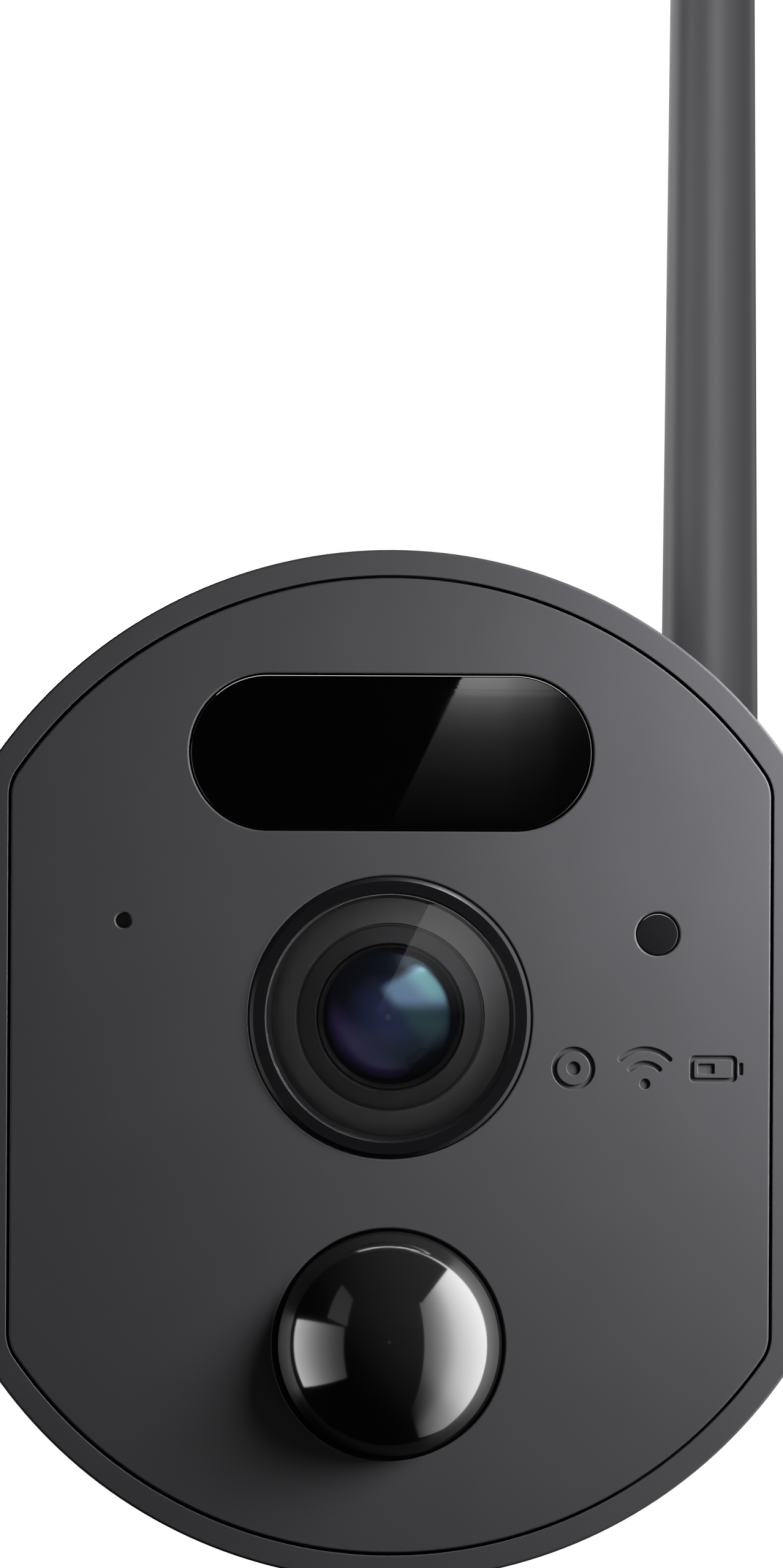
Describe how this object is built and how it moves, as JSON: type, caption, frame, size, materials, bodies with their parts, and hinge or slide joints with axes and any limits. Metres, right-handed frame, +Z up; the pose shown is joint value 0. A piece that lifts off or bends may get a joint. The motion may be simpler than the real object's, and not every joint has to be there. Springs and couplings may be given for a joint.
{
  "type": "security camera",
  "caption": "Battery outdoor security camera with a rounded dark body, long light window, lens, motion dome and swinging antenna, on a swivel and tilt wall bracket.",
  "frame": {"origin": "middle of the wall plate's screw circle, on the wall plane", "axes": "+Z up; +Y into the wall; the camera looks along -Y, and +X is to the right of someone facing the lens"},
  "size_m": [0.08, 0.128, 0.1867],
  "materials": {
    "shell_plastic": "fine matte texture, anthracite",
    "black_plastic": "satin black",
    "dark_window": "polished, almost black tint",
    "rubber": "matte",
    "lens_glass": "coated optical glass",
    "circuit_board": "solder mask",
    "chip_plastic": "moulded",
    "steel": "zinc plated",
    "brass": "machined",
    "cell_wrap": "shrink wrap",
    "cable_jacket": "smooth"
  },
  "bodies": {
    "wall_plate": {"wall_plate": "shell_plastic"},
    "arm": {"swivel_arm": "shell_plastic", "arm_screw": "steel", "tilt_bolt": "steel"},
    "head": {"tilt_head": "shell_plastic", "camera_stud": "steel"},
    "camera": {"front_housing": "shell_plastic", "faceplate": "shell_plastic", "faceplate_seal": "rubber", "rear_cover": "shell_plastic", "rear_gasket": "rubber", "cover_screws": "steel", "light_window": "dark_window", "light_baffle": "black_plastic", "led_board": "circuit_board", "white_leds": "chip_plastic", "infrared_leds": "chip_plastic", "lens_bezel": "black_plastic", "lens_window": "dark_window", "lens_hood": "black_plastic", "lens_barrel": "black_plastic", "front_lens": "lens_glass", "lens_holder": "black_plastic", "filter_motor": "steel", "image_sensor": "chip_plastic", "sensor_board": "circuit_board", "motion_lens": "dark_window", "motion_retainer": "black_plastic", "motion_sensor": "steel", "motion_board": "circuit_board", "light_sensor_window": "dark_window", "light_sensor": "chip_plastic", "microphone": "steel", "microphone_seal": "rubber", "front_board": "circuit_board", "main_board": "circuit_board", "board_components": "chip_plastic", "chassis": "steel", "inner_screws": "steel", "battery_cells": "cell_wrap", "battery_cradle": "black_plastic", "speaker": "steel", "speaker_seal": "rubber", "port_board": "circuit_board", "usb_socket": "steel", "card_slot": "steel", "button_switches": "chip_plastic", "threaded_insert": "brass", "antenna_pivot": "steel", "antenna_cable": "cable_jacket"},
    "antenna": {"antenna_rod": "shell_plastic", "antenna_cap": "shell_plastic", "antenna_element": "brass"},
    "knob": {"tilt_knob": "black_plastic"},
    "lock_nut": {"lock_nut": "shell_plastic"},
    "flap": {"port_flap": "rubber"},
    "power_button": {"power_button": "black_plastic"},
    "reset_button": {"reset_button": "black_plastic"},
    "card": {"memory_card": "chip_plastic"},
    "filter": {"night_filter": "lens_glass"}
  },
  "joints": [
    {"name": "arm_swivel", "type": "hinge", "parent": "wall_plate", "child": "arm", "pos_m": [0, -0.01, 0], "axis": [0, -1, 0], "range_deg": [-175, 175]},
    {"name": "head_tilt", "type": "hinge", "parent": "arm", "child": "head", "pos_m": [0, -0.038, 0], "axis": [1, 0, 0], "range_deg": [-15, 45]},
    {"name": "knob_turn", "type": "hinge", "parent": "arm", "child": "knob", "pos_m": [-0.016, -0.038, 0], "axis": [1, 0, 0], "range_deg": [0, 360]},
    {"name": "lock_nut_turn", "type": "hinge", "parent": "head", "child": "lock_nut", "pos_m": [0, -0.0575, 0], "axis": [0, 1, 0], "range_deg": [0, 360]},
    {"name": "camera_turn", "type": "hinge", "parent": "head", "child": "camera", "pos_m": [0, -0.06, 0], "axis": [0, -1, 0], "range_deg": [-90, 90]},
    {"name": "antenna_swing", "type": "hinge", "parent": "camera", "child": "antenna", "pos_m": [0.0322, -0.049, 0.0125], "axis": [0, 1, 0], "range_deg": [-45, 90]},
    {"name": "flap_hinge", "type": "hinge", "parent": "camera", "child": "flap", "pos_m": [0.0065, -0.06, -0.0354], "axis": [-1, 0, 0], "range_deg": [0, 120]},
    {"name": "power_press", "type": "slide", "parent": "camera", "child": "power_button", "axis": [0, -1, 0], "range_m": [0, 0.0005], "stiffness_N_per_m": 1500},
    {"name": "reset_press", "type": "slide", "parent": "camera", "child": "reset_button", "axis": [0, -1, 0], "range_m": [0, 0.0004], "stiffness_N_per_m": 1500},
    {"name": "card_push", "type": "slide", "parent": "camera", "child": "card", "axis": [0, -1, 0], "range_m": [0, 0.0006], "stiffness_N_per_m": 800},
    {"name": "filter_slide", "type": "slide", "parent": "camera", "child": "filter", "axis": [1, 0, 0], "range_m": [0, 0.006]}
  ]
}
